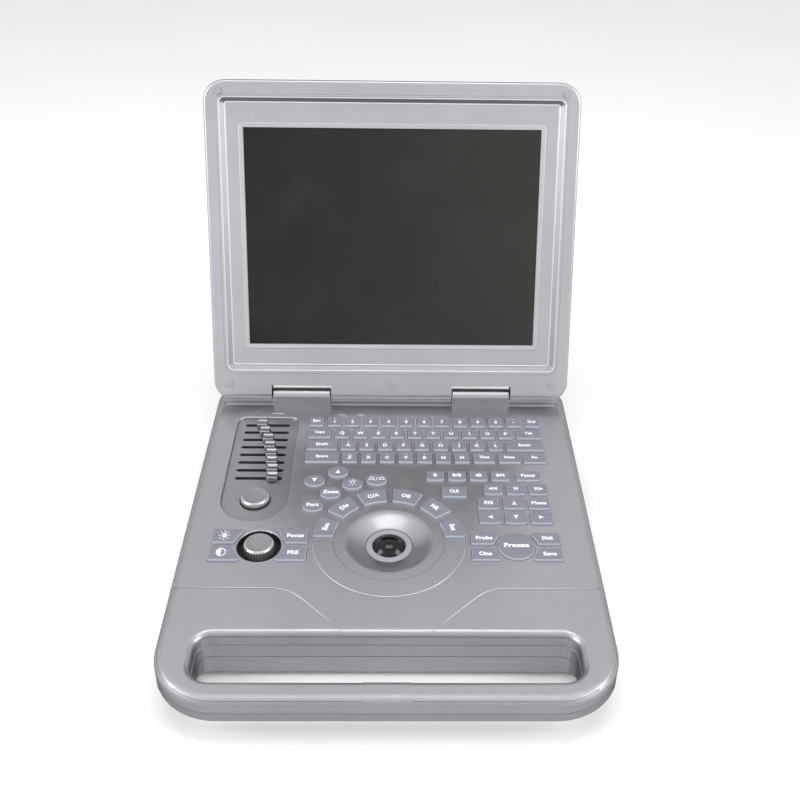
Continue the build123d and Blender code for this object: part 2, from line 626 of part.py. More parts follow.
brackets, pins = [], []
for s in (-1, 1):
    a, b = sorted((s * 84, s * 110))
    br = box(a, b, PIVOT_Y - 3.4, PIVOT_Y + 3.4, -3.0, PIVOT_Z + 3.6)
    a2, b2 = sorted((s * 72, s * 123))
    br += box(a2, b2, 204, 234, -4.6, -WALL)
    br -= xcyl(a - 1, b + 1, PIVOT_Y, PIVOT_Z, PIN_R)
    brackets.append(br)
    a, b = sorted((s * 48, s * 112))
    pins.append(xcyl(a, b, PIVOT_Y, PIVOT_Z, PIN_R))
save("hinge_brackets", *brackets)
save("hinge_pins", *pins)

# ---- lid (local frame: x right, y up along the lid from the pivot, z towards the operator) ----
lid_face = rrect(-LID_HALF, LID_HALF, LID_V0, LID_V1, LID_R)
front = slab(lid_face, LID_PART, LID_F)
front = fillet(front.faces().sort_by(Axis.Z)[-1].edges(), 2.6)
nose = prism_x(
    [(LID_V0, -20), (LID_V0, 0.6)]
    + [
        (LID_V0 + 8.0 - 8.0 * math.cos(math.radians(t)), LID_F - 8.0 + 8.0 * math.sin(math.radians(t)))
        for t in range(0, 91, 6)
    ]
    + [(LID_V1 + 1, LID_F), (LID_V1 + 1, -20)],
    -200, 200,
)
front = front & nose
inner_in = rrect(-170.6, 170.6, 35.2, 312.5, 2.6)
inner_out = rrect(-176.6, 176.6, 29.0, 317.9, 7.4)
cut = loft([Pos(0, 0, LID_F - RECESS) * inner_in, Pos(0, 0, LID_F + 0.01) * inner_out])
front -= cut


def near_rect(e, z, x, v0, v1):
    c = e.center()
    flat = abs(c.Z - z) < 0.02 and all(abs(p.Z - z) < 0.02 for p in e.vertices())
    inside = abs(c.X) < x + 0.5 and v0 - 0.5 < c.Y < v1 + 0.5
    return flat and inside and (abs(abs(c.X) - x) < 3.0 or abs(c.Y - v0) < 3.0 or abs(c.Y - v1) < 3.0)


for z, x, v0, v1 in ((LID_F, 176.6, 29.0, 317.9), (LID_F - RECESS, 170.6, 35.2, 312.5)):
    for r in (2.2, 1.6, 1.0):
        try:
            soft = fillet([e for e in front.edges() if near_rect(e, z, x, v0, v1)], r)
            if soft.volume > 0:
                front = soft
                break
        except Exception:
            continue
# shallow bevel round the display opening
front -= loft([
    Pos(0, 0, 4.70) * rrect(-SCR_HALF, SCR_HALF, SCR_V0, SCR_V1),
    Pos(0, 0, LID_F - RECESS + 0.01) * rrect(-SCR_HALF - 5.5, SCR_HALF + 5.5, SCR_V0 - 5.5, SCR_V1 + 5.5),
])
front -= box(-SCR_HALF, SCR_HALF, SCR_V0, SCR_V1, 0, 20)
pocket = box(-LID_HALF + 2.4, LID_HALF - 2.4, 14.5, LID_V1 - 2.4, LID_PART - 1, LID_F - RECESS - 2.2, LID_R - 3)
front -= pocket
for a, b in ((-62.5, 62.5), (-188, -132), (132, 188)):
    front -= box(a, b, -2.6, 20, LID_PART - 1, 4.0)
back = slab(lid_face, LID_B, LID_PART)
back = fillet(back.faces().sort_by(Axis.Z)[0].edges(), 4.2)
back -= box(-LID_HALF + 2.4, LID_HALF - 2.4, LID_V0 + 2.4, LID_V1 - 2.4, LID_B + 2.5, LID_PART + 1, LID_R - 2.4)
ARM_A, ARM_B = 49.0, 62.0
for s in (-1, 1):
    a, b = sorted((s * NOTCH_A, s * NOTCH_B))
    back += box(a - 2.2, b + 2.2, LID_V0 + 1, NOTCH_V + 2.2, LID_B + 2.0, LID_PART) & slab(lid_face, LID_B + 1, LID_PART)
    n = box(a, b, LID_V0 - 2, NOTCH_V, -20, 20)
    front -= n
    back -= n
    a, b = sorted((s * (ARM_A - 0.5), s * (NOTCH_A + 1)))
    ax_cut = xcyl(a, b, 0, 0, PIN_R + 0.6)
    k0, k1 = sorted((s * (ARM_A - 0.5), s * (ARM_B + 0.5)))
    k_cut = xcyl(k0, k1, 0, 0, 3.85)
    front -= ax_cut + k_cut
    back -= ax_cut + k_cut
LID_SCREW = [(-183.0, 14.0), (183.0, 14.0), (-183.0, 170.0), (183.0, 170.0), (-183.0, 320.0), (183.0, 320.0)]
for x, y in LID_SCREW:
    back += cyl(x, y, 3.4, LID_B + 2.2, LID_PART)
    back -= cyl(x, y, 1.3, LID_B - 1, LID_PART + 1)
    back -= cyl(x, y, 2.6, LID_B - 1, LID_B + 1.6)
for x0, x1 in ((30.0, 47.0), (-47.0, -30.0)):
    back += box(x0, x1, 24, 42, LID_B + 2.2, -4.4)
save("lid_bezel", lid(front))
save("lid_back", lid(back))
save("lcd_panel", lid(box(-163.3, 163.3, 46.4, 299.4, -3.2, LID_F - RECESS - 2.25) ))
save("screen_glass", lid(box(-SCR_HALF + 0.2, SCR_HALF - 0.2, SCR_V0 + 0.2, SCR_V1 - 0.2, LID_F - RECESS - 2.25, 4.68)))
save("display_board", lid(box(-60, 60, 302.5, 326, -5.8, -4.2) + box(-30, -8, 306, 320, -4.4, -2.0) + box(10, 40, 306, 322, -4.4, -2.4)))
bump = []
for x, y in [(-176.0, 322.9), (176.0, 322.9), (-174.6, 15.0), (0.0, 15.0), (174.6, 15.0)]:
    b = cyl(x, y, 4.0, LID_F, LID_F + 2.1)
    b = fillet(b.edges().sort_by(Axis.Z)[-1], 0.7)
    bump.append(lid(b))
save("lid_bumpers", *bump)
ls = []
for x, y in LID_SCREW:
    s = cyl(x, y, 2.4, LID_B + 0.2, LID_B + 1.5) + cyl(x, y, 1.25, LID_B + 1.5, LID_PART - 0.2)
    s -= Pos(x, y, LID_B + 0.4) * Box(3.2, 0.7, 0.7)
    s -= Pos(x, y, LID_B + 0.4) * Box(0.7, 3.2, 0.7)
    ls.append(lid(s))
save("lid_screws", *ls)
arms = []
for s in (-1, 1):
    a, b = sorted((s * ARM_A, s * ARM_B))
    k = xcyl(a, b, 0, 0, 3.5) + box(a, b, 0, 44, -4.4, -2.4)
    a2, b2 = sorted((s * 29, s * ARM_B))
    k += box(a2, b2, 23, 44, -4.4, -2.4)
    k -= xcyl(a - 1, b + 1, 0, 0, PIN_R + PIN_CLEAR)
    arms.append(lid(k))
save("hinge_arms", *arms)
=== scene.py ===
import bpy, bmesh, math
from mathutils import Vector, Matrix


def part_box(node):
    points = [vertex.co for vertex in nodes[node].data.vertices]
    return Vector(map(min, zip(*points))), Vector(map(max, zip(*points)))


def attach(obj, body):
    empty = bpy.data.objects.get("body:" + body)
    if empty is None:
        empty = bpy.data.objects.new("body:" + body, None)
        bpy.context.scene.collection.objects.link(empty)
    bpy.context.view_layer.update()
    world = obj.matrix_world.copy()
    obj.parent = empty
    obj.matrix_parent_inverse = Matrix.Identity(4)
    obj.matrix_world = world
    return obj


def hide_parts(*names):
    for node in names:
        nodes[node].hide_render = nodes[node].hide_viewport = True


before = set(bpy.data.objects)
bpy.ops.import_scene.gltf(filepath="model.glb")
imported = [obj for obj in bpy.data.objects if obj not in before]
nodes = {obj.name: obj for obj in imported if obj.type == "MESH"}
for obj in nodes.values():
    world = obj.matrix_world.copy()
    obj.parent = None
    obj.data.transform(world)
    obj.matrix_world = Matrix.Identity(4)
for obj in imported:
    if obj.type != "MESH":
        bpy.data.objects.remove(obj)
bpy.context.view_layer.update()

# deck datum: X = Y = 0 on the trackball, Z = 0 on the deck; all in millimetres
_lo, _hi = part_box("trackball")
_ulo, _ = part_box("upper_shell")
YOFF = (_lo.y + _hi.y) / 2
ZOFF = _ulo.z + 0.014


def P(x, y, z):
    return Vector((x / 1000.0, y / 1000.0 + YOFF, z / 1000.0 + ZOFF))


LEAN = math.radians(17.113)
PIV = (216.3, 11.07)


def L(x, v, w):
    """Lid point: x across, v up the lid from the pivot, w towards the operator."""
    return P(x, PIV[0] + v * math.sin(LEAN) - w * math.cos(LEAN),
             PIV[1] + v * math.cos(LEAN) + w * math.sin(LEAN))


# ------------------------------------------------------------------ materials
def new_mat(name):
    m = bpy.data.materials.new(name)
    m.use_nodes = True
    nt = m.node_tree
    nt.nodes.clear()
    out = nt.nodes.new("ShaderNodeOutputMaterial")
    b = nt.nodes.new("ShaderNodeBsdfPrincipled")
    nt.links.new(b.outputs[0], out.inputs[0])
    tc = nt.nodes.new("ShaderNodeTexCoord")
    return m, nt, b, tc.outputs["Object"]


def noise(nt, co, scale, detail=2.0, rough=0.5):
    n = nt.nodes.new("ShaderNodeTexNoise")
    n.inputs["Scale"].default_value = scale
    n.inputs["Detail"].default_value = detail
    n.inputs["Roughness"].default_value = rough
    nt.links.new(co, n.inputs["Vector"])
    return n.outputs["Fac"]


def maprange(nt, fac, a, b, lo, hi):
    n = nt.nodes.new("ShaderNodeMapRange")
    n.inputs["From Min"].default_value = a
    n.inputs["From Max"].default_value = b
    n.inputs["To Min"].default_value = lo
    n.inputs["To Max"].default_value = hi
    nt.links.new(fac, n.inputs["Value"])
    return n.outputs["Result"]


def mixc(nt, fac, a, b, mode="MIX"):
    n = nt.nodes.new("ShaderNodeMix")
    n.data_type = "RGBA"
    n.blend_type = mode
    for i, v in ((6, a), (7, b)):
        if isinstance(v, tuple):
            n.inputs[i].default_value = (*v, 1)
        else:
            nt.links.new(v, n.inputs[i])
    if isinstance(fac, float):
        n.inputs[0].default_value = fac
    else:
        nt.links.new(fac, n.inputs[0])
    return n.outputs[2]


def bump(nt, bsdf, height, strength, dist):
    n = nt.nodes.new("ShaderNodeBump")
    n.inputs["Strength"].default_value = strength
    n.inputs["Distance"].default_value = dist
    nt.links.new(height, n.inputs["Height"])
    nt.links.new(n.outputs[0], bsdf.inputs["Normal"])


def paint(name, base, metallic=0.55, rough=0.36, vary=0.05, flake=0.12, bmp=0.05):
    """Metallic paint: fine flakes, slow colour drift, faint orange peel, and painted shade that darkens it at grazing
    angles.
    """
    m, nt, b, co = new_mat(name)
    slow = maprange(nt, noise(nt, co, 9, 3), 0.3, 0.7, 0, 1)
    c = mixc(nt, slow, tuple(x * (1 - vary) for x in base), tuple(min(1, x * (1 + vary)) for x in base))
    vor = nt.nodes.new("ShaderNodeTexVoronoi")
    vor.inputs["Scale"].default_value = 2600
    nt.links.new(co, vor.inputs["Vector"])
    sep = nt.nodes.new("ShaderNodeSeparateColor")
    nt.links.new(vor.outputs["Color"], sep.inputs[0])
    fl = maprange(nt, sep.outputs[0], 0.0, 1.0, 0.0, flake)
    c = mixc(nt, fl, c, tuple(min(1, x * 1.9) for x in base))
    fl2 = maprange(nt, sep.outputs[1], 0.0, 1.0, 0.0, flake)
    c = mixc(nt, fl2, c, tuple(x * 0.35 for x in base))
    # painted shade: the colour is darkened towards grazing angles to stand in for a dark rim reflection
    lw = nt.nodes.new("ShaderNodeLayerWeight")
    lw.inputs["Blend"].default_value = 0.5
    edge = maprange(nt, lw.outputs["Facing"], 0.72, 0.97, 0.0, 0.72)
    c = mixc(nt, edge, c, tuple(x * 0.12 for x in base))
    b.inputs["Specular Tint"].default_value = (0.42, 0.42, 0.44, 1)
    nt.links.new(c, b.inputs["Base Color"])
    b.inputs["Metallic"].default_value = metallic
    r = maprange(nt, noise(nt, co, 60, 3), 0.3, 0.7, rough - 0.03, rough + 0.05)
    nt.links.new(r, b.inputs["Roughness"])
    b.inputs["Coat Weight"].default_value = 0.12
    b.inputs["Coat Roughness"].default_value = 0.25
    bump(nt, b, noise(nt, co, 1400, 2), bmp, 0.0002)
    return m


def plastic(name, base, rough=0.45, vary=0.06, grain=1800, bmp=0.08, side=None, metallic=0.0, spec=0.5):
    """Moulded plastic with spark-erosion grain; side is a second colour for upright faces, painted light where the
    lamps fall on them.
    """
    m, nt, b, co = new_mat(name)
    slow = maprange(nt, noise(nt, co, 35, 3), 0.3, 0.7, 0, 1)
    c = mixc(nt, slow, tuple(x * (1 - vary) for x in base), tuple(min(1, x * (1 + vary)) for x in base))
    # painted light: upright faces take the side colour instead of being lit by the lamps
    if side:
        g = nt.nodes.new("ShaderNodeNewGeometry")
        sx = nt.nodes.new("ShaderNodeSeparateXYZ")
        nt.links.new(g.outputs["True Normal"], sx.inputs[0])
        up = maprange(nt, sx.outputs[2], 0.35, 0.93, 1.0, 0.0)
        c = mixc(nt, up, c, side)
    nt.links.new(c, b.inputs["Base Color"])
    b.inputs["Metallic"].default_value = metallic
    b.inputs["Specular IOR Level"].default_value = spec
    r = maprange(nt, noise(nt, co, 240, 2), 0.3, 0.7, rough - 0.04, rough + 0.06)
    nt.links.new(r, b.inputs["Roughness"])
    bump(nt, b, noise(nt, co, grain, 2), bmp, 0.0002)
    return m


M = {}
M["deck"] = paint("paint_deck", (0.445, 0.44, 0.46), metallic=0.93, rough=0.36)
M["casing"] = paint("paint_casing", (0.405, 0.40, 0.42), metallic=0.93, rough=0.37)
M["lid"] = paint("paint_lid", (0.61, 0.605, 0.64), metallic=0.93, rough=0.33)
M["panel"] = paint("paint_panel", (0.36, 0.355, 0.375), metallic=0.92, rough=0.38)
# key sides are painted lighter and bluer than the tops: a painted highlight where the front light falls
M["keys"] = plastic("key_plastic_lit_sides", (0.205, 0.212, 0.25), rough=0.5, side=(0.50, 0.545, 0.635), bmp=0.12)
M["hinge"] = paint("paint_hinge_cover", (0.50, 0.495, 0.518), metallic=0.93, rough=0.36)
M["silver"] = paint("satin_silver", (0.56, 0.565, 0.57), metallic=0.8, rough=0.3, flake=0.05)
M["ring"] = plastic("ring_plastic", (0.33, 0.345, 0.375), rough=0.4)
M["cap"] = paint("knob_cap_silver", (0.38, 0.38, 0.39), metallic=0.95, rough=0.28, flake=0.08)
M["slider"] = paint("slider_silver", (0.37, 0.37, 0.38), metallic=0.95, rough=0.25, flake=0.05)
M["bead"] = paint("edge_catchlight_paint", (0.78, 0.775, 0.8), metallic=0.85, rough=0.3, flake=0.04)
M["line"] = paint("shadow_line_paint", (0.19, 0.19, 0.2), metallic=0.7, rough=0.5, flake=0.04)
M["notch"] = paint("notch_painted_shade", (0.035, 0.035, 0.038), metallic=0.3, rough=0.6, flake=0.03)
M["ball"] = plastic("ball_resin", (0.004, 0.004, 0.005), rough=0.06, bmp=0.01, grain=300, spec=0.42)
M["black"] = plastic("black_plastic", (0.018, 0.018, 0.02), rough=0.5)
M["under"] = plastic("underside_plastic", (0.10, 0.103, 0.108), rough=0.55, bmp=0.3, grain=1100)
M["rubber"] = plastic("rubber", (0.03, 0.03, 0.032), rough=0.75, bmp=0.35, grain=900)
M["bumper"] = plastic("bumper_rubber", (0.34, 0.34, 0.36), rough=0.55, bmp=0.1)
M["white"] = plastic("legend_ink", (0.86, 0.87, 0.9), rough=0.6, vary=0.02)
M["mark"] = plastic("deck_mark_ink", (0.55, 0.56, 0.58), rough=0.6, vary=0.02)
M["steel"] = paint("steel", (0.6, 0.6, 0.61), metallic=1.0, rough=0.3, flake=0.03, bmp=0.03)
M["alu"] = paint("aluminium", (0.72, 0.73, 0.74), metallic=1.0, rough=0.35, flake=0.03, bmp=0.03)
M["board"] = plastic("solder_mask", (0.02, 0.14, 0.06), rough=0.35, vary=0.25, grain=400)
# the keypad mat seen through the key gaps is painted near black: painted shade in the gaps
M["silicone"] = plastic("silicone", (0.05, 0.05, 0.052), rough=0.6)


def screen_material():
    m, nt, b, co = new_mat("unlit_screen")
    sx = nt.nodes.new("ShaderNodeSeparateXYZ")
    nt.links.new(co, sx.inputs[0])
    # painted reflection: the glass is made lighter towards the right and towards the bottom
    reflect_x = maprange(nt, sx.outputs[0], -0.15, 0.15, 0.0, 0.62)
    reflect_z = maprange(nt, sx.outputs[2], 0.34, 0.11, 0.12, 0.14)
    s = nt.nodes.new("ShaderNodeMath")
    s.operation = "ADD"
    nt.links.new(reflect_x, s.inputs[0])
    nt.links.new(reflect_z, s.inputs[1])
    c = mixc(nt, s.outputs[0], (0.006, 0.0085, 0.0068), (0.034, 0.035, 0.029))
    smear = maprange(nt, noise(nt, co, 14, 4, 0.6), 0.45, 0.75, 0.0, 0.25)
    c = mixc(nt, smear, c, (0.045, 0.047, 0.042))
    nt.links.new(c, b.inputs["Base Color"])
    r = maprange(nt, noise(nt, co, 5000, 1), 0.3, 0.7, 0.24, 0.34)
    nt.links.new(r, b.inputs["Roughness"])
    b.inputs["Specular IOR Level"].default_value = 0.28
    bump(nt, b, noise(nt, co, 3800, 1), 0.05, 0.0001)
    return m


M["screen"] = screen_material()

by_node = {
    "upper_shell": "deck", "lower_shell": "casing", "hinge_covers": "hinge", "slider_panel": "panel",
    "lid_bezel": "lid", "lid_back": "lid", "lcd_panel": "black", "screen_glass": "screen",
    "display_board": "board", "lid_bumpers": "bumper", "lid_screws": "steel", "hinge_arms": "steel",
    "hinge_brackets": "steel", "hinge_pins": "steel", "battery_door": "under", "battery_pack": "black",
    "trackball": "ball", "trackball_ring": "ring", "trackball_cup": "black", "trackball_sensor": "board",
    "keypad_mat": "silicone", "key_board": "board", "slider_board": "board", "main_board": "board",
    "power_board": "board", "slide_pots": "black", "knob_encoders": "steel", "fan_housing": "black",
    "fan_rotor": "black", "heat_sink": "alu", "rear_sockets": "black", "probe_socket": "black",
    "power_button": "silver", "power_switch": "black", "rubber_feet": "rubber", "base_screws": "steel",
    "gain_knob": "silver", "depth_knob": "silver",
}
for name, ob in nodes.items():
    key = by_node.get(name) or ("slider" if name.startswith("tgc_slider") else "keys")
    ob.data.materials.clear()
    ob.data.materials.append(M[key])


# painted shade on the lid: its rim is painted dark, the wall of the step round the screen is duller and painted darker,
# darkest where it faces down, the rounded outer edge gets a lighter painted shade, and the hinge notches are painted
# near black as shade inside
M["rim"] = plastic("lid_rim_shadow", (0.135, 0.134, 0.14), rough=0.5, spec=0.3)
M["wall"] = paint("step_wall_painted_shade", (0.45, 0.446, 0.468), metallic=0.93, rough=0.4)
M["wall_top"] = paint("step_wall_top_painted_shade", (0.20, 0.197, 0.21), metallic=0.9, rough=0.42)
M["edge_shade"] = paint("paint_lid_corner_shade", (0.53, 0.525, 0.55), metallic=0.93, rough=0.38, flake=0.05)
M["ridge"] = paint("paint_ridge_highlight", (0.80, 0.795, 0.82), metallic=0.9, rough=0.36, flake=0.05)
M["lip"] = paint("paint_screen_lip", (0.70, 0.695, 0.725), metallic=0.93, rough=0.34, flake=0.08)
pivot = P(0, *PIV)
up_dir, out_dir = Vector((0, math.sin(LEAN), math.cos(LEAN))), Vector((0, -math.cos(LEAN), math.sin(LEAN)))
for name in ("lid_bezel", "lid_back"):
    ob = nodes[name]
    for key in ("notch", "rim", "wall", "wall_top", "edge_shade"):
        ob.data.materials.append(M[key])
    for p in ob.data.polygons:
        d = p.center - pivot
        v, x = d.dot(up_dir) * 1000, abs(p.center.x) * 1000
        n_up, n_out, n_x = p.normal.dot(up_dir), p.normal.dot(out_dir), p.normal.x
        side_on = abs(n_x) > 0.9 or abs(n_up) > 0.9
        on_step = 168.0 < x < 179.0 or 26.0 < v < 38.0 or 310.0 < v < 320.5
        inward = n_x * (1 if p.center.x < 0 else -1) > 0.12 and x > 166 or n_up > 0.12 and v < 40 or n_up < -0.12 and v > 308
        # faces are chosen by their normals; notch, rim, step wall and outer edge faces get painted shade
        if side_on and 65.0 < x < 129.8 and -4.2 < v < 13.4:
            p.material_index = 1
        elif name == "lid_bezel" and on_step and inward and x < 180.0 and 25.0 < v < 321.0:
            p.material_index = 4 if n_up < -0.12 and n_out < 0.9 else 3
        elif (x > 183.0 or v > 325.0) and abs(n_out) < 0.5:
            p.material_index = 2
        elif (x > 183.0 or v > 325.0) and abs(n_out) < 0.985:
            p.material_index = 5


# the base: painted shadow in the key gaps and in the lower knob's well, painted light on the slot's rear wall, softer
# paint on the rounded edges
M["gap"] = plastic("gap_shadow", (0.03, 0.03, 0.033), rough=0.6, spec=0.2)
M["edge"] = paint("paint_rounded_edge", (0.40, 0.396, 0.415), metallic=0.9, rough=0.5)
M["slotwall_lit"] = paint("paint_slot_wall_painted_light", (0.53, 0.525, 0.55), metallic=0.9, rough=0.45)
_d0, _d1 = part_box("depth_knob")
DKX, DKY = (_d0.x + _d1.x) * 500, ((_d0.y + _d1.y) / 2 - YOFF) * 1000
for name in ("upper_shell", "lower_shell"):
    ob = nodes[name]
    for key in ("gap", "edge", "slotwall_lit"):
        ob.data.materials.append(M[key])
    for p in ob.data.polygons:
        X, Y, Z = p.center.x * 1000, (p.center.y - YOFF) * 1000, (p.center.z - ZOFF) * 1000
        n = p.normal
        if name == "upper_shell" and Z < -0.7 and math.hypot(X - DKX, Y - DKY) < 20.9:
            p.material_index = 1
        elif (name == "upper_shell" and abs(n.z) < 0.35 and -9.0 < Z < -0.03 and abs(X) < 166 and -46 < Y < 211
              and math.hypot(X, Y) > 50 and not (X < -96 and Y > 22)):
            p.material_index = 1
        # painted light: the slot's rear wall, facing the front, is painted lighter than the casing
        elif n.y < -0.75 and -119 < Y < -108 and abs(X) < 158 and Z < -5.5:
            p.material_index = 3
        elif 0.12 < n.z < 0.985 and (abs(X) > 181 or Y < -166 or Y > 212):
            p.material_index = 2


# ------------------------------------------------------------------ new pieces
def mesh_piece(name, verts, faces, mat, body, smooth=True):
    me = bpy.data.meshes.new(name)
    me.from_pydata([tuple(v) for v in verts], [], faces)
    me.validate()
    me.update()
    ob = bpy.data.objects.new(name, me)
    bpy.context.scene.collection.objects.link(ob)
    me.materials.append(mat)
    if smooth:
        for p in me.polygons:
            p.use_smooth = True
    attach(ob, body)
    return ob


def ribbed_knob(name, cx, cy, z0, z1, r, body, node, ribs=30):
    """Turned knob: ribbed skirt, bright chamfer and a shallow dished cap."""
    per = 8
    n = ribs * per
    prof = [(0.2, r - 1.5, z0), (0.9, r - 0.55, z0), (1.0, r - 0.1, z0 + 0.6), (1.0, r - 0.1, z0 + 1.0)]
    prof += [(1.0, r - 0.1, z0 + 1.0 + (z1 - 2.3 - z0 - 1.0) * t) for t in (0.25, 0.5, 0.75, 1.0)]
    prof += [(0.6, r - 0.25, z1 - 1.7), (0.0, r - 0.55, z1 - 1.35), (0.0, r - 0.8, z1 - 1.15), (0.0, r - 1.75, z1 - 0.2),
             (0.0, r - 1.95, z1 - 0.05), (0.0, r - 2.3, z1), (0.0, r - 2.9, z1 - 0.05), (0.0, r - 4.5, z1 - 0.22),
             (0.0, r - 8.0, z1 - 0.36), (0.0, 2.0, z1 - 0.42)]
    verts, faces = [], []
    for k, (amp, rad, z) in enumerate(prof):
        for i in range(n):
            a = 2 * math.pi * i / n
            groove = 0.5 - 0.5 * math.cos(2 * math.pi * (i % per) / per)
            rr = rad - 0.8 * amp * groove ** 1.5
            verts.append(P(cx + rr * math.cos(a), cy + rr * math.sin(a), z))
    for k in range(len(prof) - 1):
        for i in range(n):
            j = (i + 1) % n
            faces.append((k * n + i, k * n + j, (k + 1) * n + j, (k + 1) * n + i))
    verts.append(P(cx, cy, z1 - 0.42))
    top = len(verts) - 1
    base = (len(prof) - 1) * n
    for i in range(n):
        faces.append((base + i, base + (i + 1) % n, top))
    faces.append(tuple(reversed(range(n))))
    ob = mesh_piece(name, verts, faces, M["silver"], body)
    ob.data.materials.append(M["cap"])
    for p in ob.data.polygons:
        if p.center.z > P(0, 0, z1 - 0.6).z and math.hypot(p.center.x - cx / 1000, p.center.y - YOFF - cy / 1000) < (r - 2.6) / 1000:
            p.material_index = 1
    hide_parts(node)
    return ob


gl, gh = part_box("gain_knob")
dl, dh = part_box("depth_knob")
for nm, lo, hi, z0, body in (("gain_knob_ribbed", gl, gh, -1.7, "gain"), ("depth_knob_ribbed", dl, dh, -7.2, "depth")):
    cx, cy = (lo.x + hi.x) * 500, ((lo.y + hi.y) / 2 - YOFF) * 1000
    ribbed_knob(nm, cx, cy, z0, (hi.z - ZOFF) * 1000, (hi.x - lo.x) * 500, body, nm[:-7])


# legends: thin raised ink, generic key names only
INK = {}


def ink(body):
    return INK.setdefault(body, ([], []))


def add_poly(body, pts, z, holes=None):
    """Flat polygon, slightly raised, from points in millimetres."""
    v, f = ink(body)
    i = len(v)
    v.extend(P(x, y, z) for x, y in pts)
    f.append(tuple(range(i, i + len(pts))))


def add_text(body, text, x, y, z, size, turn=0.0, width=None, bold=0.018):
    cu = bpy.data.curves.new("t", "FONT")
    cu.body = text
    cu.size = 1.0
    cu.align_x = "CENTER"
    cu.align_y = "CENTER"
    cu.offset = bold
    cu.resolution_u = 2
    cu.space_character = 1.08
    ob = bpy.data.objects.new("t", cu)
    bpy.context.scene.collection.objects.link(ob)
    bpy.context.view_layer.update()
    dg = bpy.context.evaluated_depsgraph_get()
    me = bpy.data.meshes.new_from_object(ob.evaluated_get(dg))
    xs = [q.co.x for q in me.vertices]
    ys = [q.co.y for q in me.vertices]
    mx, my = (min(xs) + max(xs)) / 2, (min(ys) + max(ys)) / 2
    sx = width / (max(xs) - min(xs)) if width else size
    c, s = math.cos(turn), math.sin(turn)
    v, f = ink(body)
    i = len(v)
    for q in me.vertices:
        px, py = (q.co.x - mx) * sx, (q.co.y - my) * size
        v.append(P(x + c * px - s * py, y + s * px + c * py, z))
    f.extend(tuple(i + k for k in p.vertices) for p in me.polygons)
    bpy.data.objects.remove(ob)
    bpy.data.meshes.remove(me)
    bpy.data.curves.remove(cu)


def tri(body, x, y, z, w, h, turn):
    pts = [(-w / 2, -h / 2), (w / 2, -h / 2), (0, h / 2)]
    c, s = math.cos(turn), math.sin(turn)
    add_poly(body, [(x + c * a - s * b, y + s * a + c * b) for a, b in pts], z)


def ring_ink(body, x, y, z, r0, r1, a0=0.0, a1=2 * math.pi, n=24, sy=1.0):
    v, f = ink(body)
    i = len(v)
    for k in range(n + 1):
        a = a0 + (a1 - a0) * k / n
        v.append(P(x + r0 * math.cos(a), y + sy * r0 * math.sin(a), z))
        v.append(P(x + r1 * math.cos(a), y + sy * r1 * math.sin(a), z))
    for k in range(n):
        f.append((i + 2 * k, i + 2 * k + 1, i + 2 * k + 3, i + 2 * k + 2))


def solids_of(node):
    """Separate solids of a CAD node: (low x, high x, low y, high y) on the deck datum, in mm."""
    me = nodes[node].data
    key, parent = {}, []
    ids = []
    for q in me.vertices:
        k = (round(q.co.x, 6), round(q.co.y, 6), round(q.co.z, 6))
        if k not in key:
            key[k] = len(parent)
            parent.append(len(parent))
        ids.append(key[k])

    def root(a):
        while parent[a] != a:
            parent[a] = parent[parent[a]]
            a = parent[a]
        return a

    for e in me.edges:
        a, b = root(ids[e.vertices[0]]), root(ids[e.vertices[1]])
        if a != b:
            parent[a] = b
    groups = {}
    for q, i in zip(me.vertices, ids):
        groups.setdefault(root(i), []).append(q.co)
    out = []
    for g in groups.values():
        xs = [c.x * 1000 for c in g]
        ys = [(c.y - YOFF) * 1000 for c in g]
        out.append((min(xs), max(xs), min(ys), max(ys)))
    return sorted(out, key=lambda b: b[0])


KZ = 2.53
rows = [
    ["Esc", "1", "2", "3", "4", "5", "6", "7", "8", "9", "0", "-", "Del"],
    ["Caps", "Q", "W", "E", "R", "T", "Y", "U", "I", "O", "P", "Tab"],
    ["Shift", "A", "S", "D", "F", "G", "H", "J", "K", "L", "Enter"],
    ["Space", "Z", "X", "C", "V", "B", "N", "M", "Time", "Note", "Fn"],
]
second = ["!", '"', "#", "$", "%", "&", "/", "(", ")", "=", "?", ";"]
for i, names in enumerate(rows):
    keys = solids_of(f"keyboard_row_{i + 1}")
    for (x0, x1, y0, y1), t in zip(keys, names):
        xm, ym = (x0 + x1) / 2, (y0 + y1) / 2
        if len(t) == 1:
            add_text(f"row_{i + 1}", t, xm, ym - 0.9, KZ, 6.0, bold=0.05)
            add_poly(f"row_{i + 1}", [(xm - 0.55, ym + 3.6), (xm + 0.55, ym + 3.6), (xm + 0.55, ym + 4.5), (xm - 0.55, ym + 4.5)], KZ)
        else:
            add_text(f"row_{i + 1}", t, xm, ym + 0.4, KZ, 5.6, width=min(2.55 * len(t) + 0.5, x1 - x0 - 3.0), bold=0.05)

ROUND = [(-52.2, 96.2), (-74.8, 82.6), (-37.1, 78.0), (-13.3, 84.2), (-57.7, 64.4), (-73.9, 45.6)]
tri("round", ROUND[0][0], ROUND[0][1], KZ, 5.0, 5.8, 0)
tri("round", ROUND[1][0], ROUND[1][1], KZ, 5.0, 5.8, math.pi)
x, y = ROUND[2]
ring_ink("round", x, y + 1.6, KZ, 1.5, 2.2)
for a in (40, 90, 140, 220, 270, 320):
    ca, sa = math.cos(math.radians(a)), math.sin(math.radians(a))
    add_poly("round", [(x + 3.0 * ca - 0.35 * sa, y + 0.6 + 3.4 * sa + 0.35 * ca), (x + 4.4 * ca - 0.35 * sa, y + 0.6 + 5.0 * sa + 0.35 * ca),
                       (x + 4.4 * ca + 0.35 * sa, y + 0.6 + 5.0 * sa - 0.35 * ca), (x + 3.0 * ca + 0.35 * sa, y + 0.6 + 3.4 * sa - 0.35 * ca)], KZ)
x, y = ROUND[3]
